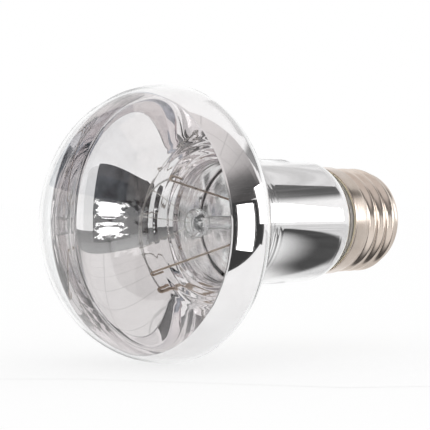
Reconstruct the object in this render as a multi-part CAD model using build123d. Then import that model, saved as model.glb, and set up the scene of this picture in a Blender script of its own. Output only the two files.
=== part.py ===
import os
from math import asin, atan2, cos, hypot, pi, sin, sqrt, tan

from build123d import *

# A reflector lamp with a screw cap. Every piece is drawn with the lamp axis upright, the tip of
# the centre contact at the origin and the face at the top, and is laid level when it is written,
# with the face towards -Y. All sizes are in millimetres.

# Glass bulb: diameters, then lengths along the axis from the cap's rim to the face
bulb_diameter = 63.5
neck_diameter = 30.3
seal_diameter = 25.7
glass_wall = 0.6
seal_depth = 4.0
seal_margin = 0.5
taper_length = 6.6
neck_length = 27.4
bowl_depth = 19.2
dome_height = 24.2

# How far the curves of the bowl and the dome run on straight before they turn
bowl_neck_pull = 3.0
bowl_rim_pull = 4.2
dome_rim_pull = 10.9
dome_face_pull = 22.5

# Mirror film inside the bowl and the neck
film_thickness = 0.1
film_gap = 0.05
film_lip = 8.9
film_setback = 0.3

# Screw cap
cap_height = 25.1
collar_height = 5.8
collar_rise = 1.6
thread_diameter = 26.2
thread_depth = 0.85
thread_pitch = 3.629
thread_fade = 1.8
thread_start = 250.0
sheet_thickness = 0.3
nose_diameter = 20.6
nose_height = 1.9
nose_pull = 0.4
insulator_drop = 3.3
insulator_floor = 2.0
insulator_rim_height = 2.6
insulator_rim_width = 1.0
insulator_draft = 1.0
contact_diameter = 9.6
contact_thickness = 0.5
contact_hole = 1.6
contact_edge_round = 0.3
solder_diameter = 5.6
solder_height = 1.2
side_solder_length = 2.4
side_solder_height = 0.8
side_solder_bulge = 0.18
cement_thickness = 0.3
cement_bead = 0.12

# Stem: the flared tube, its flattened press, the exhaust tube and the arbor with its button
flare_height = 8.0
tube_diameter = 12.4
tube_length = 10.0
press_width = 14.6
press_thickness = 4.2
pinch_height = 4.0
press_height = 8.0
exhaust_diameter = 4.0
exhaust_wall = 0.7
exhaust_stub = 11.0
port_diameter = 1.4
arbor_diameter = 3.2
button_diameter = 6.9
button_thickness = 3.6
button_setback = 11.0

# Heat shield across the neck, seated on the press
shield_thickness = 0.3
shield_seat = 25.0
shield_rim = 1.5

# Wires and filament
lead_spacing = 9.8
lead_diameter = 0.5
lead_rise = 2.5
lead_bend = 3.0
hook_leg = 2.4
outer_lead_diameter = 0.4
side_lead_diameter = 0.2
side_lead_bend = 0.6
side_lead_angle = 200.0
outer_lead_bend = 1.0
filament_diameter = 0.45
filament_setback = 9.3
filament_bow = 8.0
upper_clamp = (-6.3, 10.4)
lower_clamp = (-12.7, -12.1)
support_count = 3
support_diameter = 0.2
support_root = 1.4
support_loop_turn = 300.0

# Clearances
seal_gap = 0.05
cement_gap = 0.02
insulator_gap = 0.05
wire_gap = 0.12
shield_gap = 0.3
solder_gap = 0.03

# Stations along the axis, from the contact's tip
contact_seat = solder_height + contact_thickness
shell_foot = contact_seat + insulator_drop
insulator_top = shell_foot + insulator_floor
thread_foot = shell_foot + nose_height
thread_head = cap_height - collar_height
seal_end = cap_height - seal_depth
neck_start = cap_height + taper_length
bowl_start = neck_start + neck_length
widest = bowl_start + bowl_depth
apex = widest + dome_height
press_start = seal_end + flare_height + tube_length
press_top = press_start + pinch_height + press_height
weld_height = press_start + pinch_height
button_height = widest - button_setback
filament_height = widest - filament_setback

# Diameters and radii that several pieces share
collar_diameter = seal_diameter + 2 * (cement_thickness + sheet_thickness)
thread_root = thread_diameter / 2 - thread_depth
collar_inside = collar_diameter / 2 - sheet_thickness
bore_radius = tube_diameter / 2 - glass_wall
lip_radius = seal_diameter / 2 - glass_wall - seal_gap
lead_offset = lead_spacing / 2
shield_radius = neck_diameter / 2 - glass_wall - film_gap - film_thickness - shield_gap


def turned(edges):
    """Solid of revolution about the lamp axis, from a closed half section of (radius, height)."""
    return revolve(Plane.XZ * make_face(edges), Axis.Z)


def chain(*points):
    """Straight edges through the points, which end at the last one."""
    return [Line(start, end) for start, end in zip(points, points[1:])]


def wire_along(path, diameter):
    """Round wire along a path of lines and arcs."""
    start = Plane(origin=path @ 0, z_dir=path % 0)
    return sweep(start * Circle(diameter / 2), path=path)


def bulb_outline(inset):
    """Half outline of the bulb from the neck's sealed end to the apex, drawn in by inset."""
    seal = seal_diameter / 2 - inset
    neck = neck_diameter / 2 - inset
    bulb = bulb_diameter / 2 - inset
    taper_start = cap_height - seal_margin
    taper_middle = (taper_start + neck_start) / 2
    slant = atan2(bulb - neck, bowl_depth - bowl_neck_pull - bowl_rim_pull)
    slide = inset * tan(slant / 2)
    fall = atan2(bulb_diameter / 2 - dome_face_pull, dome_height - dome_rim_pull)
    rim_slide = inset * tan(fall / 2)
    face_slide = inset * tan((pi / 2 - fall) / 2)
    return [
        Line((seal, seal_end), (seal, taper_start)),
        Bezier((seal, taper_start), (seal, taper_middle), (neck, taper_middle), (neck, neck_start)),
        Line((neck, neck_start), (neck, bowl_start)),
        Bezier(
            (neck, bowl_start),
            (neck, bowl_start + bowl_neck_pull + slide),
            (bulb, widest - bowl_rim_pull + slide),
            (bulb, widest),
        ),
        Bezier(
            (bulb, widest),
            (bulb, widest + dome_rim_pull - rim_slide),
            (dome_face_pull - face_slide, apex - inset),
            (0, apex - inset),
        ),
    ]


def bulb_layer(outer_inset, inner_inset):
    """Shell of the bulb's form between two insets, open at the neck's end."""
    outer = seal_diameter / 2 - outer_inset
    inner = seal_diameter / 2 - inner_inset
    mouth = Line((outer, seal_end), (inner, seal_end))
    crown = Line((0, apex - outer_inset), (0, apex - inner_inset))
    return turned(bulb_outline(outer_inset) + bulb_outline(inner_inset) + [mouth, crown])


def envelope():
    """Clear glass bulb, blown in one piece with its neck."""
    return bulb_layer(0, glass_wall)


def mirror_film():
    """Metal film on the inside of the glass, from just past the cap to just past the widest circle."""
    outer = glass_wall + film_gap
    film = bulb_layer(outer, outer + film_thickness)
    bottom = cap_height + film_setback
    height = widest + film_lip - bottom
    coated = Pos(0, 0, bottom + height / 2) * Cylinder(bulb_diameter, height)
    return film & coated


def thread_core(inset):
    """Round section carried along a corkscrew: its throw off the axis grows, holds and fades again."""
    sections_per_turn = 12
    length = thread_head - thread_foot
    steps = round(sections_per_turn * length / thread_pitch)
    sections = []
    for step in range(steps + 1):
        height = length * step / steps
        share = min(1, height / thread_fade, (length - height) / thread_fade)
        throw = thread_depth / 2 * share**2 * (3 - 2 * share)
        turn = thread_start * pi / 180 - 2 * pi * (length - height) / thread_pitch
        place = Pos(throw * cos(turn), throw * sin(turn), thread_foot + height)
        sections.append(place * Circle(thread_root + throw - inset))
    return loft(sections)


def nose_curve(inset):
    """Turned-in foot of the screw shell, from the thread down to its lip, drawn in by inset."""
    lip = nose_diameter / 2
    lean = atan2(thread_root - lip - nose_pull, nose_height - nose_pull)
    return Bezier(
        (thread_root - inset, thread_foot),
        (thread_root - inset, thread_foot - nose_pull + inset * tan(lean / 2)),
        (lip + nose_pull - inset * tan((pi / 2 - lean) / 2), shell_foot + inset),
        (lip, shell_foot + inset),
    )


def collar_curve(inset):
    """Step out from the thread to the plain collar."""
    low = thread_root - inset
    high = collar_diameter / 2 - inset
    middle = thread_head + collar_rise / 2
    return Bezier(
        (low, thread_head),
        (low, middle),
        (high, middle),
        (high, thread_head + collar_rise),
    )


def screw_shell():
    """Sheet-metal shell: a rolled knuckle thread between a plain collar and a turned-in nose."""
    thread = thread_core(0) - thread_core(sheet_thickness)
    step = thread_head + collar_rise
    outside = collar_diameter / 2
    collar = turned(
        [collar_curve(0), collar_curve(sheet_thickness)]
        + chain((outside, step), (outside, cap_height), (collar_inside, cap_height), (collar_inside, step))
        + [Line((thread_root - sheet_thickness, thread_head), (thread_root, thread_head))]
    )
    lip = nose_diameter / 2
    nose = turned(
        [nose_curve(0), nose_curve(sheet_thickness)]
        + [Line((thread_root - sheet_thickness, thread_foot), (thread_root, thread_foot))]
        + [Line((lip, shell_foot), (lip, shell_foot + sheet_thickness))]
    )
    return thread + collar + nose


def cap_insulator():
    """Glass button moulded into the shell's nose, dished inside, with a cone down to the contact."""
    inset = sheet_thickness + insulator_gap
    seat = shell_foot + inset
    rim = thread_root - inset
    rim_top = thread_foot + insulator_rim_height
    dish = rim - insulator_rim_width
    lip = nose_diameter / 2
    edge = lip - insulator_gap
    hole = contact_hole / 2
    section = chain(
        (lip, seat),
        (edge, seat),
        (edge, shell_foot),
        (contact_diameter / 2, contact_seat),
        (hole, contact_seat),
        (hole, insulator_top),
        (dish - insulator_draft, insulator_top),
        (dish, rim_top),
        (rim, rim_top),
        (rim, thread_foot),
    )
    return turned([nose_curve(inset)] + section)


def centre_contact():
    """Round contact plate under the insulator, pierced for the lead."""
    plate = Circle(contact_diameter / 2) - Circle(contact_hole / 2)
    disc = Pos(0, 0, solder_height) * extrude(plate, contact_thickness)
    outer_edge = disc.edges().group_by(Axis.Z)[0].sort_by(SortBy.LENGTH)[-1]
    return fillet(outer_edge, contact_edge_round)


def contact_solder(lead):
    """Domed solder on the contact plate, with a plug in its hole, round the end of the lead."""
    half = solder_diameter / 2
    plug = contact_hole / 2 - solder_gap
    crown = (half**2 + solder_height**2) / (2 * solder_height)
    dome = turned(
        [CenterArc((0, crown), crown, 270, asin(half / crown) * 180 / pi)]
        + chain(
            (half, solder_height),
            (plug, solder_height),
            (plug, contact_seat),
            (0, contact_seat),
            (0, 0),
        )
    )
    return dome - lead


def side_lead_run():
    """Place of the side lead in the gap between the neck's end and the collar, on the plan."""
    radius = (seal_diameter / 2 + collar_inside) / 2
    angle = side_lead_angle * pi / 180
    return radius * cos(angle), radius * sin(angle)


def side_solder(lead):
    """Run of solder over the collar's rim, round the end of the side lead."""
    outside = collar_diameter / 2 + solder_gap
    bulge = collar_diameter / 2 + side_solder_bulge
    crest = cap_height + side_solder_height
    skirt = cap_height - side_solder_height
    section = chain(
        (collar_inside, cap_height),
        (outside, cap_height),
        (outside, skirt),
        (bulge, skirt + side_solder_bulge),
        (bulge, cap_height),
    )
    top = Bezier((bulge, cap_height), (bulge, crest), (collar_inside, crest), (collar_inside, cap_height))
    spread = side_solder_length / outside * 180 / pi
    run = revolve(Plane.XZ * make_face(section + [top]), Axis.Z, revolution_arc=spread)
    return Rot(0, 0, side_lead_angle - spread / 2) * run - lead


def basing_cement(lead):
    """Ring of cement between the neck and the collar, with a small bead above the rim."""
    outer = collar_inside - cement_gap
    top = cap_height + cement_bead
    ring = Pos(0, 0, (seal_end + top) / 2) * (
        Cylinder(outer, top - seal_end) - Cylinder(seal_diameter / 4, top - seal_end)
    )
    glass_room = turned(
        bulb_outline(-cement_gap)
        + chain((0, apex + cement_gap), (0, seal_end), (seal_diameter / 2 + cement_gap, seal_end))
    )
    return ring - glass_room - lead


def stem_flare(wires):
    """Flared glass tube, pinched flat at its top round the lead wires, with the exhaust port."""
    tube_top = seal_end + flare_height
    outside = tube_diameter / 2
    lip_top = seal_end + glass_wall
    bulb_side = Bezier(
        (lip_radius, lip_top),
        (outside, lip_top + glass_wall),
        (outside, lip_top + glass_wall),
        (outside, tube_top),
    )
    cap_side = Bezier(
        (lip_radius, seal_end),
        (bore_radius, seal_end + glass_wall),
        (bore_radius, seal_end + glass_wall),
        (bore_radius, tube_top),
    )
    tube = turned(
        [bulb_side, cap_side, Line((lip_radius, seal_end), (lip_radius, lip_top))]
        + chain((outside, tube_top), (outside, press_start), (bore_radius, press_start), (bore_radius, tube_top))
    )
    flat_start = press_start + pinch_height
    oval = Ellipse(press_thickness / 2, press_width / 2)
    pinch = loft([Pos(0, 0, press_start) * Circle(outside), Pos(0, 0, flat_start) * oval])
    flat = Pos(0, 0, flat_start) * extrude(oval, press_height)
    port_path = Line((0, 0, press_start), (press_thickness, 0, flat_start + port_diameter))
    return tube + pinch + flat - wires - wire_along(port_path, port_diameter)


def exhaust_tube():
    """Thin tube from the press down into the cap, closed to a round tip where it was sealed off."""
    outside = exhaust_diameter / 2
    bore = outside - exhaust_wall
    tip = exhaust_stub
    top = press_start
    return turned(
        [
            CenterArc((0, tip + outside), outside, 270, 90),
            CenterArc((0, tip + outside), bore, 270, 90),
            Line((0, tip), (0, tip + exhaust_wall)),
        ]
        + chain((outside, tip + outside), (outside, top), (bore, top), (bore, tip + outside))
    )


def arbor_rod(supports):
    """Glass rod on the press that ends in a flattened button, where the support wires are held."""
    rod_top = button_height
    rod = Pos(0, 0, (press_top + rod_top) / 2) * Cylinder(arbor_diameter / 2, rod_top - press_top)
    half = button_diameter / 2
    rise = button_thickness / 2
    edge = half - rise
    button = turned(
        [ThreePointArc((edge, rise), (edge + rise, 0), (edge, -rise))]
        + chain((edge, -rise), (0, -rise), (0, rise), (edge, rise))
    )
    return rod + Pos(0, 0, button_height) * button - supports


def heat_shield():
    """Stamped disc that keeps the heat off the cap: a flat seat on the press and a turned-down rim."""
    hole = arbor_diameter / 2 + wire_gap
    seat = shield_seat / 2
    top = press_top + shield_thickness
    foot = top - shield_rim
    inside = shield_radius - shield_thickness
    disc = turned(
        [
            Bezier((seat, top), (shield_radius, top), (shield_radius, top), (shield_radius, foot)),
            Bezier((seat, press_top), (inside, press_top), (inside, press_top), (inside, foot)),
            Line((inside, foot), (shield_radius, foot)),
        ]
        + chain((seat, top), (hole, top), (hole, press_top), (seat, press_top))
    )
    for side in (1, -1):
        disc -= Pos(0, side * lead_offset, press_top) * Cylinder(lead_diameter / 2 + wire_gap, shield_rim)
    return disc


def filament_line():
    """Arc of the filament between the two clamps, bowed away from the axis."""
    start = (*upper_clamp, filament_height)
    end = (*lower_clamp, filament_height)
    chord = Vector(*end) - Vector(*start)
    outwards = Vector(chord.Y, -chord.X, 0).normalized()
    middle = Vector(*start) + chord / 2 + outwards * filament_bow
    return ThreePointArc(start, middle, end)


def inner_lead(side, clamp, grip):
    """Lead wire from the press to its clamp, where it folds back over the end of the filament."""
    weld = Vector(0, side * lead_offset, weld_height)
    knee = Vector(0, side * lead_offset, press_top + lead_rise)
    target = Vector(*clamp, filament_height)
    reach = target - knee
    ahead = reach.normalized()
    across = (grip - ahead * grip.dot(ahead)).normalized()
    fold = Plane(origin=knee, x_dir=ahead, z_dir=across)
    radius = (filament_diameter + lead_diameter) / 2 + wire_gap
    lean = asin(radius / reach.length)
    run = sqrt(reach.length**2 - radius**2)

    def on_fold(along, beside):
        """Point of the fold's plane, measured along the straight run and square to it."""
        return fold.from_local_coords(
            Vector(along * cos(lean) + beside * sin(lean), beside * cos(lean) - along * sin(lean), 0)
        )

    touch = on_fold(run, 0)
    path = FilletPolyline(weld, knee, touch, radius=lead_bend)
    bend = ThreePointArc(touch, on_fold(run + radius, radius), on_fold(run, 2 * radius))
    leg = Line(on_fold(run, 2 * radius), on_fold(run - hook_leg, 2 * radius))
    return wire_along(Wire(path.edges() + [bend, leg]), lead_diameter)


def support_wire(station):
    """Thin wire from the button that ends in an open loop round the filament."""
    point = filament_line() @ station
    plan = Vector(point.X, point.Y, 0)
    radial = plan.normalized()
    plane = Plane(origin=(0, 0, 0), x_dir=radial, z_dir=radial.cross(Vector(0, 0, 1)))
    loop = (filament_diameter + support_diameter) / 2 + wire_gap
    rise = filament_height - button_height
    run = plan.length - support_root
    heading = atan2(rise, run) - asin(loop / hypot(run, rise))
    length = sqrt(run**2 + rise**2 - loop**2)
    touch = (support_root + length * cos(heading), button_height + length * sin(heading))
    shank = Line((support_root, button_height), touch)
    eye = CenterArc((plan.length, filament_height), loop, heading * 180 / pi - 90, support_loop_turn)
    path = plane * Wire([shank, eye])
    return wire_along(path, support_diameter)


def outer_lead_centre():
    """Lead from the press past the exhaust tube and through the insulator into the contact's solder."""
    centre_height = insulator_top + outer_lead_bend
    path = FilletPolyline(
        (0, lead_offset, weld_height),
        (0, lead_offset, centre_height + lead_offset),
        (0, 0, centre_height),
        (0, 0, solder_height / 2),
        radius=outer_lead_bend,
    )
    return wire_along(path, outer_lead_diameter)


def outer_lead_side():
    """Lead from the press that turns out under the neck's end and up beside it to the collar's rim."""
    x, y = side_lead_run()
    under = seal_end - side_lead_bend
    over = cap_height + side_lead_diameter
    spread = (collar_diameter - sheet_thickness) / 2 / hypot(x, y)
    path = FilletPolyline(
        (0, -lead_offset, weld_height),
        (0, -lead_offset, under),
        (x, y, under),
        (x, y, over),
        (x * spread, y * spread, over),
        radius=[side_lead_bend, side_lead_bend, side_lead_diameter],
    )
    return wire_along(path, side_lead_diameter)


def filament():
    """Tungsten coil, as the round bar that its turns fill."""
    return wire_along(filament_line(), filament_diameter)


def lamp_pieces():
    """Every piece of the lamp by name, upright."""
    line = filament_line()
    supports = {}
    for number in range(1, support_count + 1):
        supports[f"support_wire_{number}"] = support_wire(number / (support_count + 1))
    upper = inner_lead(1, upper_clamp, line % 0)
    lower = inner_lead(-1, lower_clamp, line % 1)
    centre = outer_lead_centre()
    side = outer_lead_side()
    return {
        "envelope": envelope(),
        "mirror_film": mirror_film(),
        "stem_flare": stem_flare([upper, lower, centre, side]),
        "exhaust_tube": exhaust_tube(),
        "arbor_rod": arbor_rod(list(supports.values())),
        "heat_shield": heat_shield(),
        "inner_lead_upper": upper,
        "inner_lead_lower": lower,
        "outer_lead_centre": centre,
        "outer_lead_side": side,
        "filament": filament(),
        **supports,
        "screw_shell": screw_shell(),
        "basing_cement": basing_cement(side),
        "cap_insulator": cap_insulator(),
        "centre_contact": centre_contact(),
        "contact_solder": contact_solder(centre),
        "side_solder": side_solder(side),
    }


os.makedirs("parts", exist_ok=True)
laid_level = Rot(90, 0, 0)
for name, piece in lamp_pieces().items():
    export_step(laid_level * piece, f"parts/{name}.step")
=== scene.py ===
from math import asin, atan2, ceil, cos, pi, radians, sin, tan

import bpy
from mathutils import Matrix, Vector
from mathutils.geometry import interpolate_bezier


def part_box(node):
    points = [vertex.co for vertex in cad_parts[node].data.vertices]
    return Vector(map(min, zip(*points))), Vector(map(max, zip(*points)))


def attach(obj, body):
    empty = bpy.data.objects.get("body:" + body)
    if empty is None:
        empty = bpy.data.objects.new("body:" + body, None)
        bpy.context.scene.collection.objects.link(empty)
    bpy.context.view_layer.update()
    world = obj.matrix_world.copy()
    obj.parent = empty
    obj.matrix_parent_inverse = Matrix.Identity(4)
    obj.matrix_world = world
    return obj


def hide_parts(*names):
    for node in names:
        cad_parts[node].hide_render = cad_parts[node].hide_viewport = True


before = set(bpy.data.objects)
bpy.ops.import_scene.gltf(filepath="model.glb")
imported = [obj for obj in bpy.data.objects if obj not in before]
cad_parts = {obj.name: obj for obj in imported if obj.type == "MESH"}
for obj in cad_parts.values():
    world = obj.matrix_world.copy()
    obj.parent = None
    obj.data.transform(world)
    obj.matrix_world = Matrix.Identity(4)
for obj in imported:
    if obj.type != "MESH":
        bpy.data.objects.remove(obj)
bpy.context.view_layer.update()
scene = bpy.context.scene

# The lamp lies along Y with its face towards -Y. Its turned pieces are drawn as half sections of
# (radius, height) in millimetres, with height measured along the axis from the contact's tip.
MM = 0.001


def span(node):
    """Outer radius, lowest and highest height of a CAD node, in millimetres."""
    low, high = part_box(node)
    return (high.x - low.x) / 2 / MM, -high.y / MM, -low.y / MM


# Heights and radii taken from the frame
bulb_radius, seal_end, apex = span("envelope")
film_bottom, film_top = span("mirror_film")[1:]
collar_radius, shell_foot, cap_rim = span("screw_shell")
filament_height = sum(span("filament")[1:]) / 2

# Glass bulb: radii of the neck, then lengths along the axis from the cap's rim to the face
neck_radius = 15.15
seal_radius = 12.85
glass_wall = 0.6
taper_start = cap_rim - 0.5
neck_start = cap_rim + 6.6
bowl_start = neck_start + 27.4
widest = bowl_start + 19.2

# How far the curves of the bowl and the dome run on straight before they turn
bowl_neck_pull = 3.0
bowl_rim_pull = 4.2
dome_rim_pull = 10.9
dome_face_pull = 22.5

# Mirror film, with a skirt under the collar and a dull edge above it
film_inset = 0.65
film_thickness = 0.1
film_skirt = 1.0
edge_start = cap_rim + 1.0
edge_fade = 1.6

# Rings at the throat: where they lie, how many to a metre, and how deep
ring_middle = bowl_start + 1.0
ring_spread = 7.0
ring_scale = 1050
ring_depth = 0.28

# Screw shell. The thread's start is an angle in degrees.
sheet = 0.3
thread_root = 12.25
thread_throw = 0.425
thread_pitch = 3.629
thread_fade = 1.8
thread_start = 250.0
thread_foot = shell_foot + 1.9
thread_head = cap_rim - 5.8
collar_rise = 1.6
nose_lip = 10.3
nose_pull = 0.4
rim_round = 0.12

# Arbor rod and its button
press_top = 51.1
arbor_radius = 1.6
button_height = widest - 11.0
button_radius = 3.45
button_rise = 1.8

# Filament: its clamps as (x, z), how far it bows between them, and its coil
upper_clamp = (-6.3, 10.4)
lower_clamp = (-12.7, -12.1)
filament_bow = 8.0
coil_radius = 0.175
coil_wire = 0.045
coil_pitch = 0.2
coil_steps = 12

# Segments of the turned pieces
bulb_segments = 224
shell_segments = 192
arbor_segments = 64


class Link:
    """A socket of a node tree. Arithmetic on links adds Math nodes, and add makes any other node."""

    def __init__(self, tree, socket=None):
        self.tree = tree
        self.socket = socket

    def add(self, kind, settings=None, sockets=None, out=0):
        """New node of a kind: its settings first, then the values or links of its sockets."""
        node = self.tree.nodes.new(kind)
        for name, value in (settings or {}).items():
            if name == "stops":
                self.fill_ramp(node.color_ramp, value)
            else:
                setattr(node, name, value)
        for name, value in (sockets or {}).items():
            if isinstance(value, Link):
                self.tree.links.new(value.socket, node.inputs[name])
            else:
                node.inputs[name].default_value = value
        return Link(self.tree, node.outputs[out]) if len(node.outputs) else node

    @staticmethod
    def fill_ramp(ramp, stops):
        """Sets a colour ramp's two stops, as (place, colour) pairs."""
        for element, (place, colour) in zip(ramp.elements, stops):
            element.position = place
            element.color = (*colour, 1)

    def out(self, name):
        """Another output of the same node."""
        return Link(self.tree, self.socket.node.outputs[name])

    def math(self, operation, *values):
        """Math node on this link and the values."""
        return self.add("ShaderNodeMath", {"operation": operation}, dict(enumerate((self, *values))))

    def flipped(self, operation, value):
        """Math node with the value first and this link second."""
        return self.add("ShaderNodeMath", {"operation": operation}, {0: value, 1: self})

    def __add__(self, other):
        return self.math("ADD", other)

    def __sub__(self, other):
        return self.math("SUBTRACT", other)

    def __mul__(self, other):
        return self.math("MULTIPLY", other)

    def __truediv__(self, other):
        return self.math("DIVIDE", other)

    def __rsub__(self, other):
        return self.flipped("SUBTRACT", other)

    __radd__ = __add__
    __rmul__ = __mul__

    def clamped(self):
        """The value held between 0 and 1."""
        return self.math("MAXIMUM", 0).math("MINIMUM", 1)

    def smooth(self):
        """The value held between 0 and 1, eased at both ends."""
        share = self.clamped()
        return share * share * (3 - 2 * share)

    def bumped(self, strength, distance):
        """Normal tilted by this height, in metres of distance."""
        values = {"Strength": strength, "Distance": distance, "Height": self}
        return self.add("ShaderNodeBump", sockets=values)

    def scaling(self, vector):
        """A vector or colour scaled by this value."""
        return self.add("ShaderNodeVectorMath", {"operation": "SCALE"}, {"Vector": vector, "Scale": self})


def cubic(start, first_handle, second_handle, end, steps):
    """Points of a cubic curve of (radius, height), both ends included."""
    points = interpolate_bezier(start, first_handle, second_handle, end, steps + 1)
    return [tuple(point) for point in points]


def straight(start, end, steps):
    """Evenly spaced points of a line, both ends included."""
    return [tuple(Vector(start).lerp(Vector(end), step / steps)) for step in range(steps + 1)]


def joined(*runs):
    """One run of points, without the doubled ones where two runs meet."""
    points = []
    for run in runs:
        last = Vector(points[-1]) if points else None
        points += [point for point in run if last is None or Vector(point) - last != Vector((0, 0))]
    return points


def quarter(centre, radius, start, steps=4):
    """Quarter of a small round edge, turned anticlockwise from a start angle in degrees."""
    angles = [radians(start + 90 * step / steps) for step in range(steps + 1)]
    return [(centre[0] + radius * cos(angle), centre[1] + radius * sin(angle)) for angle in angles]


def bulb_outline(inset):
    """Half outline of the bulb from the neck's sealed end to the apex, drawn in by inset."""
    seal = seal_radius - inset
    neck = neck_radius - inset
    bulb = bulb_radius - inset
    taper_middle = (taper_start + neck_start) / 2
    slant = atan2(bulb - neck, widest - bowl_start - bowl_neck_pull - bowl_rim_pull)
    slide = inset * tan(slant / 2)
    fall = atan2(bulb_radius - dome_face_pull, apex - widest - dome_rim_pull)
    rim_slide = inset * tan(fall / 2)
    face_slide = inset * tan((pi / 2 - fall) / 2)
    return joined(
        straight((seal, seal_end), (seal, taper_start), 3),
        cubic((seal, taper_start), (seal, taper_middle), (neck, taper_middle), (neck, neck_start), 20),
        straight((neck, neck_start), (neck, bowl_start), 24),
        cubic(
            (neck, bowl_start),
            (neck, bowl_start + bowl_neck_pull + slide),
            (bulb, widest - bowl_rim_pull + slide),
            (bulb, widest),
            52,
        ),
        cubic(
            (bulb, widest),
            (bulb, widest + dome_rim_pull - rim_slide),
            (dome_face_pull - face_slide, apex - inset),
            (0, apex - inset),
            64,
        ),
    )


def bulb_section():
    """Closed half section of the glass wall."""
    outer = bulb_outline(0)
    inner = bulb_outline(glass_wall)
    return outer + inner[::-1] + [outer[0]]


def film_section():
    """Closed half section of the mirror film, with a skirt that the collar hides."""
    outer = bulb_outline(film_inset)
    inner = bulb_outline(film_inset + film_thickness)
    skirt = film_bottom - film_skirt
    coated = [[point for point in run if skirt <= point[1] <= film_top] for run in (outer, inner)]
    return coated[0] + coated[1][::-1] + [coated[0][0]]


def shell_wall(inset):
    """One face of the screw shell, from the nose's lip up to just under the collar's rim."""
    low = thread_root - inset
    high = collar_radius - inset
    foot = shell_foot + inset
    lean = atan2(thread_root - nose_lip - nose_pull, thread_foot - shell_foot - nose_pull)
    lip_handle = nose_lip + nose_pull - inset * tan((pi / 2 - lean) / 2)
    wall_handle = thread_foot - nose_pull + inset * tan(lean / 2)
    middle = thread_head + collar_rise / 2
    step = thread_head + collar_rise
    return joined(
        cubic((nose_lip, foot), (lip_handle, foot), (low, wall_handle), (low, thread_foot), 14),
        straight((low, thread_foot), (low, thread_head), 110),
        cubic((low, thread_head), (low, middle), (high, middle), (high, step), 16),
        straight((high, step), (high, cap_rim - rim_round), 6),
    )


def shell_section():
    """Closed half section of the screw shell, with its rim rounded."""
    outer = shell_wall(0)
    inner = shell_wall(sheet)
    rim = quarter((collar_radius - rim_round, cap_rim - rim_round), rim_round, 0)
    rim += quarter((collar_radius - sheet + rim_round, cap_rim - rim_round), rim_round, 90)
    return outer + rim + inner[::-1] + [outer[0]]


def arbor_section():
    """Closed half section of the arbor rod and its button."""
    edge = button_radius - button_rise
    foot = button_height - button_rise
    round_edge = [radians(-90 + 180 * step / 24) for step in range(25)]
    return joined(
        straight((0, press_top), (arbor_radius, press_top), 2),
        straight((arbor_radius, press_top), (arbor_radius, foot), 12),
        [
            (edge + button_rise * cos(angle), button_height + button_rise * sin(angle))
            for angle in round_edge
        ],
        straight((edge, button_height + button_rise), (0, button_height + button_rise), 3),
    )


def new_tree(name, inputs):
    """Geometry tree with named inputs, as (name, socket type) pairs, and the links of those inputs."""
    tree = bpy.data.node_groups.new(name, "GeometryNodeTree")
    tree.interface.new_socket("Geometry", in_out="OUTPUT", socket_type="NodeSocketGeometry")
    tree.interface.new_socket("Carrier", in_out="INPUT", socket_type="NodeSocketGeometry")
    for label, kind in inputs:
        tree.interface.new_socket(label, in_out="INPUT", socket_type=kind)
    start = tree.nodes.new("NodeGroupInput")
    links = {socket.name: Link(tree, socket) for socket in start.outputs if socket.name}
    return tree, links


def close_tree(mesh, material):
    """Last nodes of a geometry tree: smooth faces, real geometry and one material."""
    smooth = mesh.add("GeometryNodeSetShadeSmooth", sockets={"Geometry": mesh})
    whole = mesh.add("GeometryNodeRealizeInstances", sockets={"Geometry": smooth})
    painted = mesh.add("GeometryNodeSetMaterial", sockets={"Geometry": whole, "Material": material})
    mesh.add("NodeGroupOutput", sockets={"Geometry": painted})


def lathe_tree():
    """Turns the carrier's half section about the lamp axis, thrown sideways along a corkscrew."""
    tree, given = new_tree(
        "turn_on_lamp_axis",
        [
            ("Segments", "NodeSocketInt"),
            ("Thread Foot", "NodeSocketFloat"),
            ("Thread Head", "NodeSocketFloat"),
            ("Thread Zero", "NodeSocketFloat"),
            ("Thread Pitch", "NodeSocketFloat"),
            ("Thread Fade", "NodeSocketFloat"),
            ("Thread Throw", "NodeSocketFloat"),
            ("Material", "NodeSocketMaterial"),
        ],
    )
    make = given["Carrier"]
    count = make.add("GeometryNodeAttributeDomainSize", {"component": "MESH"}, {"Geometry": make})
    grid = make.add(
        "GeometryNodeMeshGrid",
        sockets={"Size X": 1, "Size Y": 1, "Vertices X": given["Segments"] + 1, "Vertices Y": count},
    )
    place = make.add("GeometryNodeInputPosition")
    on_grid = make.add("ShaderNodeSeparateXYZ", sockets={"Vector": place})
    turn = (on_grid + 0.5) * (2 * pi)
    station = ((on_grid.out("Y") + 0.5) * (count - 1)).math("ROUND")
    drawn = make.add(
        "GeometryNodeSampleIndex",
        {"data_type": "FLOAT_VECTOR", "domain": "POINT"},
        {"Geometry": make, "Value": place, "Index": station},
    )
    section = make.add("ShaderNodeSeparateXYZ", sockets={"Vector": drawn})
    height = section.out("Z")
    above = (height - given["Thread Foot"]) / given["Thread Fade"]
    below = (given["Thread Head"] - height) / given["Thread Fade"]
    throw = above.math("MINIMUM", below).smooth() * given["Thread Throw"]
    wind = (height - given["Thread Zero"]) / given["Thread Pitch"] * (2 * pi)
    radius = section + throw
    around = make.add(
        "ShaderNodeCombineXYZ",
        sockets={
            "X": radius * turn.math("COSINE") + throw * wind.math("COSINE"),
            "Y": 0 - height,
            "Z": radius * turn.math("SINE") + throw * wind.math("SINE"),
        },
    )
    shaped = make.add("GeometryNodeSetPosition", sockets={"Geometry": grid, "Position": around})
    closed = make.add("GeometryNodeMergeByDistance", sockets={"Geometry": shaped, "Distance": 1e-6})
    close_tree(closed, given["Material"])
    return tree


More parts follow.
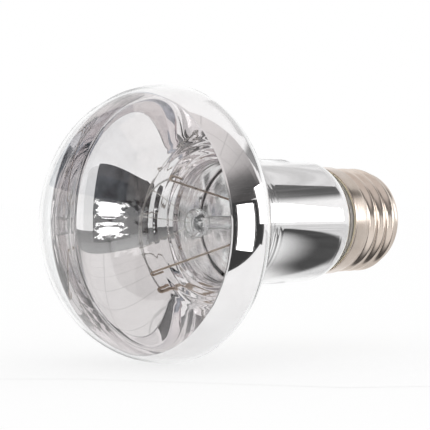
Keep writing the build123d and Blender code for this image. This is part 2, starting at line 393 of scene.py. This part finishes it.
def coil_tree():
    """Winds a thin wire round the carrier's line."""
    tree, given = new_tree(
        "wind_round_line",
        [
            ("Coil Radius", "NodeSocketFloat"),
            ("Wire Radius", "NodeSocketFloat"),
            ("Turns", "NodeSocketFloat"),
            ("Points", "NodeSocketInt"),
            ("Material", "NodeSocketMaterial"),
        ],
    )
    make = given["Carrier"]
    line = make.add("GeometryNodeMeshToCurve", sockets={"Mesh": make})
    fine = make.add(
        "GeometryNodeResampleCurve", {"mode": "COUNT"}, {"Curve": line, "Count": given["Points"]}
    )
    along = make.add("GeometryNodeSplineParameter")
    wind = along * given["Turns"] * (2 * pi)
    normal = make.add("GeometryNodeInputNormal")
    tangent = make.add("GeometryNodeInputTangent")
    cross = make.add("ShaderNodeVectorMath", {"operation": "CROSS_PRODUCT"}, {0: tangent, 1: normal})
    ways = []
    for way, share in ((normal, wind.math("COSINE")), (cross, wind.math("SINE"))):
        reach = share * given["Coil Radius"]
        ways.append(reach.scaling(way))
    offset = make.add("ShaderNodeVectorMath", {"operation": "ADD"}, {0: ways[0], 1: ways[1]})
    coiled = make.add("GeometryNodeSetPosition", sockets={"Geometry": fine, "Offset": offset})
    ring = make.add(
        "GeometryNodeCurvePrimitiveCircle", sockets={"Resolution": 8, "Radius": given["Wire Radius"]}
    )
    wire = make.add(
        "GeometryNodeCurveToMesh", sockets={"Curve": coiled, "Profile Curve": ring, "Fill Caps": True}
    )
    close_tree(wire, given["Material"])
    return tree


def grown(name, points, tree, values):
    """Piece that a geometry tree makes from a line of points in metres, as a plain mesh."""
    carrier = bpy.data.meshes.new(name)
    carrier.from_pydata(points, [(step, step + 1) for step in range(len(points) - 1)], [])
    piece = bpy.data.objects.new(name, carrier)
    scene.collection.objects.link(piece)
    modifier = piece.modifiers.new(tree.name, "NODES")
    modifier.node_group = tree
    for item in tree.interface.items_tree:
        if item.in_out == "INPUT" and item.name in values:
            modifier[item.identifier] = values[item.name]
    depsgraph = bpy.context.evaluated_depsgraph_get()
    mesh = bpy.data.meshes.new_from_object(piece.evaluated_get(depsgraph))
    piece.modifiers.clear()
    piece.data = mesh
    bpy.data.meshes.remove(carrier)
    mesh.name = name
    return piece


def turned(name, section, material, tree, segments, throw=0.0):
    """Piece turned from a half section in millimetres."""
    points = [(radius * MM, 0, height * MM) for radius, height in section]
    return grown(
        name,
        points,
        tree,
        {
            "Segments": segments,
            "Thread Foot": thread_foot * MM,
            "Thread Head": thread_head * MM,
            "Thread Zero": (thread_head - thread_start / 360 * thread_pitch) * MM,
            "Thread Pitch": thread_pitch * MM,
            "Thread Fade": thread_fade * MM,
            "Thread Throw": throw * MM,
            "Material": material,
        },
    )


def fitted(piece, slot, *nodes):
    """Fixes a piece to the lamp in place of CAD nodes."""
    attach(piece, "root")
    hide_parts(*nodes)


def new_material(name):
    """Material with a bare Principled shader: the shader node and a link to add nodes with."""
    material = bpy.data.materials.new(name)
    material.use_nodes = True
    shader = material.node_tree.nodes["Principled BSDF"]
    return material, shader, Link(material.node_tree)


def feed(shader, **inputs):
    """Sets the shader's own sockets, by value or by link."""
    for name, value in inputs.items():
        socket = shader.inputs[name.replace("_", " ").title().replace("Ior", "IOR")]
        if isinstance(value, Link):
            value.tree.links.new(value.socket, socket)
        else:
            socket.default_value = value


def noise(make, scale, detail=2.0, roughness=0.5, stretch=(1, 1, 1)):
    """Noise on Object coordinates: scale in features per metre, stretched along the axes."""
    place = make.add("ShaderNodeTexCoord", out=3)
    mapped = make.add("ShaderNodeMapping", sockets={"Vector": place, "Scale": stretch})
    return make.add(
        "ShaderNodeTexNoise",
        sockets={"Vector": mapped, "Scale": scale, "Detail": detail, "Roughness": roughness},
    )


def position(make):
    """Object coordinates in metres, split into X, Y and Z."""
    return make.add("ShaderNodeSeparateXYZ", sockets={"Vector": make.add("ShaderNodeTexCoord", out=3)})


def ring_noise(make, distance, scale, detail=0.0, waver=1.2):
    """Noise that only changes with a distance in metres: rings that waver by millimetres."""
    drift = (noise(make, 40, 2, 0.4) - 0.5) * (waver * MM)
    return make.add(
        "ShaderNodeTexNoise",
        {"noise_dimensions": "1D"},
        {"W": distance + drift, "Scale": scale, "Detail": detail, "Roughness": 0.5},
    )


def shades(make, value, dark, light):
    """Colour between two shades."""
    return make.add("ShaderNodeValToRGB", {"stops": [(0.3, dark), (0.7, light)]}, {"Fac": value})


def clear_glass():
    """Blown soda glass, with slow waves left by the blowing."""
    material, shader, make = new_material("clear_glass")
    waves = noise(make, 55, 2, 0.4)
    feed(
        shader,
        base_color=shades(make, noise(make, 30), (0.97, 0.98, 0.98), (1, 1, 1)),
        roughness=0.0,
        transmission_weight=1.0,
        ior=1.5,
        normal=waves.bumped(0.06, 0.001),
    )
    return material


def stem_glass():
    """Lead-free stem glass, fire-polished, with swirls and fine draw lines along the axis, and painted
    shade that darkens it towards its edges as they turn from the camera.
    """
    material, shader, make = new_material("stem_glass")
    swirls = noise(make, 420, 2, 0.5) + 0.2 * noise(make, 900, 2, 0.5, (1, 0.12, 1))
    # Painted shade: the colour goes dark where the glass turns edge-on to the camera, which outlines the
    # rod and the button.
    edge = make.add("ShaderNodeLayerWeight", sockets={"Blend": 0.5}, out=1)
    feed(
        shader,
        base_color=shades(make, edge + 0.1 * noise(make, 90), (1, 1, 1), (0.3, 0.32, 0.31)),
        roughness=0.0,
        transmission_weight=1.0,
        ior=1.52,
        normal=swirls.bumped(0.2, 0.001),
    )
    return material


def mirror_silver():
    """Vacuum-deposited mirror, with rings in the glass at the throat and a dull edge at the cap."""
    material, shader, make = new_material("mirror_film")
    cloud = noise(make, 160, 4, 0.55)
    along = position(make).out("Y")
    height = (0 - along) / MM
    throat = 1 - (height - ring_middle).math("ABSOLUTE") / ring_spread
    rings = ring_noise(make, along, ring_scale) * throat.smooth()
    bright = ((height - edge_start) / edge_fade).smooth()
    feed(
        shader,
        base_color=shades(make, cloud, (0.87, 0.85, 0.853), (0.93, 0.912, 0.915)),
        metallic=bright,
        roughness=cloud * 0.03 + 0.4 * (1 - bright),
        normal=(rings + 0.05 * noise(make, 60, 2, 0.4)).bumped(1.0, ring_depth * MM),
    )
    return material


def shield_aluminium():
    """Bright stamped aluminium with faint rings from the press tool."""
    material, shader, make = new_material("shield_aluminium")
    dull = noise(make, 260, 4, 0.6)
    place = position(make)
    reach = (place * place + place.out("Z") * place.out("Z")).math("SQRT")
    feed(
        shader,
        base_color=shades(make, dull, (0.9, 0.9, 0.9), (0.98, 0.98, 0.97)),
        metallic=1.0,
        roughness=0.14 + dull * 0.16,
        normal=(noise(make, 120, 1, 0.4) + 0.03 * ring_noise(make, reach, 700, 2)).bumped(1.0, 0.003),
    )
    return material


def nickel_plate():
    """Bright nickel plate with a warm cast, drawn lines round the shell and faint stains."""
    material, shader, make = new_material("nickel_plate")
    stains = noise(make, 120, 5, 0.6)
    drawn = noise(make, 500, 3, 0.6, (0.12, 1, 0.12))
    feed(
        shader,
        base_color=shades(make, stains, (0.66, 0.56, 0.48), (0.78, 0.69, 0.62)),
        metallic=1.0,
        roughness=0.14 + drawn * 0.12,
        normal=drawn.bumped(0.1, 0.0002),
    )
    return material


def drawn_wire(name, dark, light, roughness):
    """Drawn metal wire with stains from the flame."""
    material, shader, make = new_material(name)
    stains = noise(make, 420, 3, 0.6)
    feed(
        shader,
        base_color=shades(make, stains, dark, light),
        metallic=1.0,
        roughness=roughness + stains * 0.2,
        normal=noise(make, 3000, 2).bumped(0.2, 0.00005),
    )
    return material


def resin_cement():
    """Cured basing cement: pale ochre, grainy and dull, its colour partly its own and partly painted light
    that makes up for the shade in its crevice.
    """
    material, shader, make = new_material("resin_cement")
    grain = noise(make, 1800, 4, 0.7)
    feed(
        shader,
        # Painted light: these shades are paler than the cement's own ochre, to make up for the shade in its
        # crevice.
        base_color=shades(make, grain, (0.85, 0.72, 0.46), (0.97, 0.91, 0.78)),
        roughness=0.45 + grain * 0.3,
        normal=grain.bumped(0.4, 0.0002),
    )
    return material


def black_insulator():
    """Moulded black glass, glossy with a faint orange-peel."""
    material, shader, make = new_material("black_insulator")
    peel = noise(make, 600, 3, 0.5)
    feed(
        shader,
        base_color=shades(make, peel, (0.012, 0.012, 0.014), (0.03, 0.03, 0.034)),
        roughness=0.08 + peel * 0.12,
        normal=peel.bumped(0.15, 0.0002),
    )
    return material


def dull_solder():
    """Solder that set in the air: soft grey with fine wrinkles."""
    material, shader, make = new_material("dull_solder")
    wrinkles = noise(make, 1500, 5, 0.6)
    feed(
        shader,
        base_color=shades(make, wrinkles, (0.5, 0.5, 0.51), (0.72, 0.72, 0.73)),
        metallic=1.0,
        roughness=0.25 + wrinkles * 0.25,
        normal=wrinkles.bumped(0.3, 0.0002),
    )
    return material


def filament_points():
    """Arc of the filament between the two clamps, bowed away from the axis, in metres, and its length."""
    start = Vector(upper_clamp)
    end = Vector(lower_clamp)
    chord = end - start
    outwards = Vector((chord.y, -chord.x)).normalized()
    radius = (chord.length**2 / 4 + filament_bow**2) / (2 * filament_bow)
    centre = (start + end) / 2 + outwards * (filament_bow - radius)
    first = atan2(start.y - centre.y, start.x - centre.x)
    sweep = 2 * asin(chord.length / 2 / radius)
    steps = 96
    points = []
    for step in range(steps + 1):
        angle = first + sweep * step / steps
        x = centre.x + radius * cos(angle)
        z = centre.y + radius * sin(angle)
        points.append((x * MM, -filament_height * MM, z * MM))
    return points, radius * sweep * MM


def dress_lamp():
    """Every piece of the lamp with its finish."""
    lathe = lathe_tree()
    glass = clear_glass()
    stem = stem_glass()
    silver = mirror_silver()
    shield = shield_aluminium()
    nickel = nickel_plate()
    lead = drawn_wire("lead_wire", (0.42, 0.33, 0.26), (0.72, 0.6, 0.5), 0.2)
    copper = drawn_wire("copper_wire", (0.5, 0.26, 0.16), (0.76, 0.46, 0.33), 0.2)
    tungsten = drawn_wire("tungsten_wire", (0.5, 0.48, 0.46), (0.78, 0.76, 0.73), 0.2)
    support = drawn_wire("support_wire", (0.6, 0.57, 0.53), (0.85, 0.82, 0.78), 0.15)
    solder = dull_solder()
    cement = resin_cement()
    black = black_insulator()
    contact = drawn_wire("contact_plate", (0.55, 0.45, 0.28), (0.78, 0.68, 0.48), 0.25)

    bulb = turned("glass_bulb", bulb_section(), glass, lathe, bulb_segments)
    fitted(bulb, "clear_glass", "envelope")
    coat = turned("mirror_coat", film_section(), silver, lathe, bulb_segments)
    fitted(coat, "mirror_film", "mirror_film")
    shell = turned("threaded_shell", shell_section(), nickel, lathe, shell_segments, thread_throw)
    fitted(shell, "nickel_shell", "screw_shell")
    arbor = turned("arbor_and_button", arbor_section(), stem, lathe, arbor_segments)
    fitted(arbor, "stem_glass", "arbor_rod")

    points, length = filament_points()
    turns = ceil(length / (coil_pitch * MM))
    coil = grown(
        "coiled_filament",
        points,
        coil_tree(),
        {
            "Coil Radius": coil_radius * MM,
            "Wire Radius": coil_wire * MM,
            "Turns": float(turns),
            "Points": turns * coil_steps,
            "Material": tungsten,
        },
    )
    fitted(coil, "tungsten", "filament")

    finishes = {
        "stem_flare": stem,
        "exhaust_tube": stem,
        "heat_shield": shield,
        "inner_lead_upper": lead,
        "inner_lead_lower": lead,
        "outer_lead_centre": copper,
        "outer_lead_side": copper,
        "support_wire_1": support,
        "support_wire_2": support,
        "support_wire_3": support,
        "basing_cement": cement,
        "cap_insulator": black,
        "centre_contact": contact,
        "contact_solder": solder,
        "side_solder": solder,
    }
    for node, material in finishes.items():
        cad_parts[node].data.materials.clear()
        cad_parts[node].data.materials.append(material)


# Camera, fitted to the photograph's outline
camera_place = Vector((270.22, -345.33, 8.24)) * MM
camera_azimuth = 43.56
camera_elevation = 0.94
camera_lens = 139.8

# Points of the lamp that the studio's cards are set out from
lamp_middle = Vector((0, -60, 0)) * MM
neck_middle = Vector((0, -45, 0)) * MM

# How much of the floor's white is its own glow
floor_glow = 0.8

# Floor and table, in metres. The table's outline is measured to the picture's right and towards the camera.
floor_reach = 3.0
floor_drop = 0.0001
table_outline = [
    (-0.5, 0.086),
    (-0.07, 0.088),
    (-0.016, 0.103),
    (0.06, 0.093),
    (0.1, 0.086),
    (0.076, 0.06),
    (0.072, -0.3),
    (-0.5, -0.3),
]

# Ceiling, in metres: its tiles, and the width over which it dims towards the picture's right
ceiling_height = 0.9
ceiling_reach = 3.0
ceiling_back = -0.13
ceiling_tile = 0.36
tile_shift = 0.2
dim_start = 0.1
dim_width = 2.1

# Its joints, as a share of a tile and of its light, its level on the left and on the right, and its tint
joint_share = 0.035
joint_depth = 0.24
near_level = 0.76
far_level = 0.1
ceiling_tint = (1, 0.965, 0.96)

# Painted shade on the table under the cap, which only reflections show, in millimetres: its outline, the
# slanting line from which it darkens, how that line draws back under the neck, its soft edge behind the
# lamp, and where it turns pale beside the cap
shade_outline = [(0, -66), (340, 190), (340, 400), (-20, 400), (-20, -36)]
shade_lift = 0.3
shade_slant = 0.83
shade_start = -50
shade_fade = 22
under_draw = 26
under_edge = 14
under_fade = 24
shade_back_edge = -14
shade_back_fade = 14
pale_start = -20
pale_fade = 6
shade_dark = 0.08
shade_pale = 0.75

# Bright window in the room: features per metre, the share left dark, and two levels
window_scale = 297
window_gap = 0.6
window_level = 1.6
window_dim = 0.06

# Outline of the unlit room in front of the lamp, as (azimuth, elevation) in degrees
room_outline = [
    (-60, 9),
    (-60, -48),
    (-22, -48),
    (-16, -36),
    (-14, -28),
    (-12.5, -19.5),
    (-11.5, -8),
    (-11.5, 9),
]

# Outline of the dim wall above it
band_outline = [
    (-60, 5),
    (60, 5),
    (60, 32),
    (10, 32),
    (8, 42),
    (2, 38),
    (-6, 29),
    (-12, 20),
    (-60, 20),
]


def heading(azimuth, elevation):
    """Direction from the lamp: azimuth from the camera's side, positive towards the picture's right."""
    angle = radians(camera_azimuth + azimuth)
    flat = cos(radians(elevation))
    return Vector((sin(angle) * flat, -cos(angle) * flat, sin(radians(elevation))))


def set_camera():
    """Camera at the photograph's viewing angle."""
    data = bpy.data.cameras.new("photo_camera")
    data.lens = camera_lens
    data.sensor_width = 36
    data.clip_start = 0.01
    camera = bpy.data.objects.new("photo_camera", data)
    camera.location = camera_place
    back = heading(0, camera_elevation)
    camera.rotation_euler = (-back).to_track_quat("-Z", "Y").to_euler()
    scene.collection.objects.link(camera)
    scene.camera = camera


def light_world():
    """White surroundings."""
    world = bpy.data.worlds.new("white_studio")
    world.use_nodes = True
    background = world.node_tree.nodes["Background"]
    background.inputs["Color"].default_value = (1, 1, 1, 1)
    scene.world = world


def bare_material(name):
    """Material without nodes, and a link to add nodes with."""
    material = bpy.data.materials.new(name)
    material.use_nodes = True
    material.node_tree.nodes.clear()
    return material, Link(material.node_tree)


def close_material(make, shader):
    """Last node of a material."""
    make.add("ShaderNodeOutputMaterial", sockets={"Surface": shader})


def glow(make, colour, strength=1.0):
    """Shader that glows in a colour or at a level."""
    return make.add("ShaderNodeEmission", sockets={"Color": colour, "Strength": strength})


def thinned(make, shader, cover):
    """A shader that lets the rest show where the cover is below 1."""
    open_air = make.add("ShaderNodeBsdfTransparent")
    return make.add("ShaderNodeMixShader", sockets={"Fac": cover, 1: open_air, 2: shader})


def plain_glow(name, level):
    """Plain surface that shows at a set level in reflections."""
    material, make = bare_material(name)
    close_material(make, glow(make, (1, 1, 1, 1), level))
    return material


def noisy_glow(name, pattern, dark, light):
    """Surface that goes between two shades with a noise of some scale, detail, roughness and stretch."""
    material, make = bare_material(name)
    close_material(make, glow(make, shades(make, noise(make, *pattern), dark, light)))
    return material


def painted_table_shade(name):
    """Painted shade on the table under the cap, which only reflections show: dark beside the neck, pale
    beside the cap, and thinned out towards the bowl.
    """
    material, make = bare_material(name)
    place = position(make)
    across = place / MM
    along = (place.out("Y") - shade_slant * place) / MM
    start = shade_start + under_draw * ((under_edge - across) / under_fade).smooth()
    cover = ((along - start) / shade_fade).smooth() * ((across - shade_back_edge) / shade_back_fade).smooth()
    # Painted shade: dark beside the neck, turning pale beside the cap
    level = shade_dark + (shade_pale - shade_dark) * ((along - pale_start) / pale_fade).smooth()
    sheet_glow = glow(make, level * (0.6 + 0.8 * noise(make, 60, 3)))
    close_material(make, thinned(make, sheet_glow, cover))
    return material


def broken_light(name):
    """Bright light that comes through in patches, fewer of them towards the card's edges."""
    material, make = bare_material(name)
    spread = make.add("ShaderNodeSeparateXYZ", sockets={"Vector": make.add("ShaderNodeTexCoord", out=0)})
    rise = spread.out("Z")
    inner = (spread * (1 - spread)).math("MINIMUM", rise * (1 - rise))
    gaps = noise(make, window_scale, 5, 0.7) + inner
    patches = window_level * gaps.math("GREATER_THAN", window_gap) + window_dim
    close_material(make, glow(make, patches))
    return material


def fading_flag(name, level, heights, fade, edge=None, thin=1.0):
    """Streaked cloth, soft at its lower and upper edges, and thinner before an edge along the lamp."""
    material, make = bare_material(name)
    place = position(make)
    low = ((place.out("Z") - heights[0]) / fade).smooth()
    high = ((heights[1] - place.out("Z")) / fade).smooth()
    cover = low * high
    if edge:
        side = ((place.out("Y") - edge[0]) / (edge[1] - edge[0])).smooth()
        cover = cover * (thin + (1 - thin) * side)
    streaks = noise(make, 70, 2, 0.5, (0.04, 0.04, 1))
    sheet_glow = glow(make, level * (0.3 + 1.4 * streaks))
    close_material(make, thinned(make, sheet_glow, cover))
    return material


def graded_wall(name, levels, heights):
    """Wall that goes evenly from one level to another between two heights."""
    material, make = bare_material(name)
    share = (position(make).out("Z") - heights[0]) / (heights[1] - heights[0])
    close_material(make, glow(make, levels[0] + (levels[1] - levels[0]) * share.smooth()))
    return material


def tiled_ceiling(name):
    """Grey ceiling tiles with thin darker joints, dimmer on the right."""
    material, make = bare_material(name)
    place = position(make)
    right = heading(90, 0)
    back = heading(0, 0)
    across = place * right.x + place.out("Y") * right.y
    along = place * back.x + place.out("Y") * back.y
    joints = []
    for way in (across, along):
        tile = ((way + tile_shift) / ceiling_tile).math("FRACT")
        joints.append(tile.math("LESS_THAN", joint_share))
    level = near_level + (far_level - near_level) * ((across - dim_start) / dim_width).smooth()
    jointed = level * (1 - joint_depth * joints[0].math("MAXIMUM", joints[1]))
    close_material(make, glow(make, jointed.scaling(ceiling_tint)))
    return material


def pale_floor(name):
    """Matt pale surface that shows white to the camera and keeps a soft shadow."""
    material, make = bare_material(name)
    path = make.add("ShaderNodeLightPath")
    seen = (path + path.out("Is Glossy Ray") + path.out("Is Transmission Ray")).math("MINIMUM", 1)
    matt = make.add("ShaderNodeBsdfDiffuse", sockets={"Color": (0.98, 0.98, 0.98, 1)})
    white = glow(make, (1, 1, 1, 1))
    lit = make.add("ShaderNodeMixShader", sockets={"Fac": seen * floor_glow, 1: matt, 2: white})
    close_material(make, lit)
    return material


def flat_piece(name, corners, material):
    """Flat piece of the studio."""
    mesh = bpy.data.meshes.new(name)
    mesh.from_pydata([tuple(corner) for corner in corners], [], [range(len(corners))])
    mesh.materials.append(material)
    piece = bpy.data.objects.new(name, mesh)
    scene.collection.objects.link(piece)
    return piece


def flat_card(name, corners, material):
    """Card of the studio that only reflections show."""
    card = flat_piece(name, corners, material)
    card.visible_camera = False
    card.visible_diffuse = False
    card.visible_shadow = False


def oblong(azimuths, elevations):
    """Outline between two azimuths and two elevations."""
    return [(azimuths[side], elevations[end]) for side, end in ((0, 0), (1, 0), (1, 1), (0, 1))]


def facing_card(name, outline, distance, material, centre=lamp_middle):
    """Upright card at a distance, with an outline of azimuths and elevations seen from a centre."""
    azimuths = [azimuth for azimuth, elevation in outline]
    middle = (min(azimuths) + max(azimuths)) / 2
    corners = []
    for azimuth, elevation in outline:
        reach = distance / cos(radians(azimuth - middle))
        rise = Vector((0, 0, tan(radians(elevation)) * distance))
        corners.append(centre + heading(azimuth, 0) * reach + rise)
    flat_card(name, corners, material)


def laid_out(outline, level):
    """Corners at a level, from places measured to the picture's right and towards the camera."""
    right = heading(90, 0)
    back = heading(0, 0)
    return [right * across + back * along + Vector((0, 0, level)) for across, along in outline]


def table_level():
    """Height that the lamp lies on."""
    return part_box("envelope")[0].z


def set_floor():
    """Pale floor, and on it the pale table that the lamp lies on, which the mirror reflects."""
    material = pale_floor("pale_floor")
    level = table_level()
    reach = floor_reach
    wide = [(-reach, -reach), (reach, -reach), (reach, reach), (-reach, reach)]
    for name, outline, height in (("floor", wide, level - floor_drop), ("table", table_outline, level)):
        surface = flat_piece(name, laid_out(outline, height), material)
        surface.visible_glossy = name == "table"
        surface.visible_transmission = name == "table"


def set_front():
    """What the inside of the bowl reflects: a room with a window, walls and a shaded side."""
    room = noisy_glow("dim_room", (14, 2, 0.5, (1, 1, 0.6)), (0.008, 0.008, 0.011), (0.045, 0.04, 0.037))
    shade = noisy_glow("blue_shade", (7, 4, 0.6), (0.04, 0.05, 0.065), (0.64, 0.7, 0.78))
    wall = graded_wall("graded_wall", (0.16, 0.29), (0.3, 0.85))
    facing_card("front_room", room_outline, 0.105, room)
    facing_card("front_window", oblong((-48, -26), (-13, 9)), 0.06, broken_light("broken_light"))
    facing_card("pale_wall", oblong((-14, 12), (-40, 5)), 0.9, plain_glow("pale_wall", 0.8))
    facing_card("front_wall", band_outline, 2.4, wall)
    facing_card("left_flag", oblong((-140, -60), (10, 60)), 0.8, shade)


def set_sides():
    """What the outside of the bowl, the neck and the cap reflect: two lights, dark cloths and a painted
    shade on the table.
    """
    bright = plain_glow("softbox_cloth", 3.0)
    dark = plain_glow("dark_flag", 0.05)
    shade_top = fading_flag("shade_top", 0.08, (0.1, 0.74), 0.44)
    neck_cloth = fading_flag("neck_cloth", 0.13, (0.066, 0.186), 0.03, (0.07, 0.1), 0.8)
    neck_shade = fading_flag("neck_shade", 0.72, (0.05, 0.27), 0.07)
    facing_card("right_flag", oblong((38, 88), (-40, 16)), 0.8, dark)
    facing_card("right_shade", oblong((28, 88), (7, 43.5)), 0.79, shade_top)
    facing_card("neck_flag", oblong((86, 118), (23, 49.5)), 0.16, neck_cloth, neck_middle)
    facing_card("neck_shade", oblong((112, 165), (15, 60)), 0.16, neck_shade, neck_middle)
    facing_card("softbox_near", oblong((50, 73), (-18, 14)), 0.6, bright)
    facing_card("softbox_side", oblong((81, 100), (0, 23)), 0.6, bright)
    # Painted shade on the table under the cap, which only reflections show
    lift = Vector((0, 0, table_level() + shade_lift * MM))
    shade_corners = [Vector((x, y, 0)) * MM + lift for x, y in shade_outline]
    flat_card("painted_table_shade_card", shade_corners, painted_table_shade("painted_table_shade"))


def set_ceiling():
    """Ceiling over the lamp and in front of it."""
    reach = ceiling_reach
    outline = [(-reach, ceiling_back), (reach, ceiling_back), (reach, reach), (-reach, reach)]
    flat_card("ceiling", laid_out(outline, ceiling_height), tiled_ceiling("tiled_ceiling"))


dress_lamp()
set_camera()
light_world()
set_floor()
set_front()
set_sides()
set_ceiling()

scene.view_settings.view_transform = "Standard"
scene.cycles.max_bounces = 32
scene.cycles.glossy_bounces = 16
scene.cycles.transmission_bounces = 24
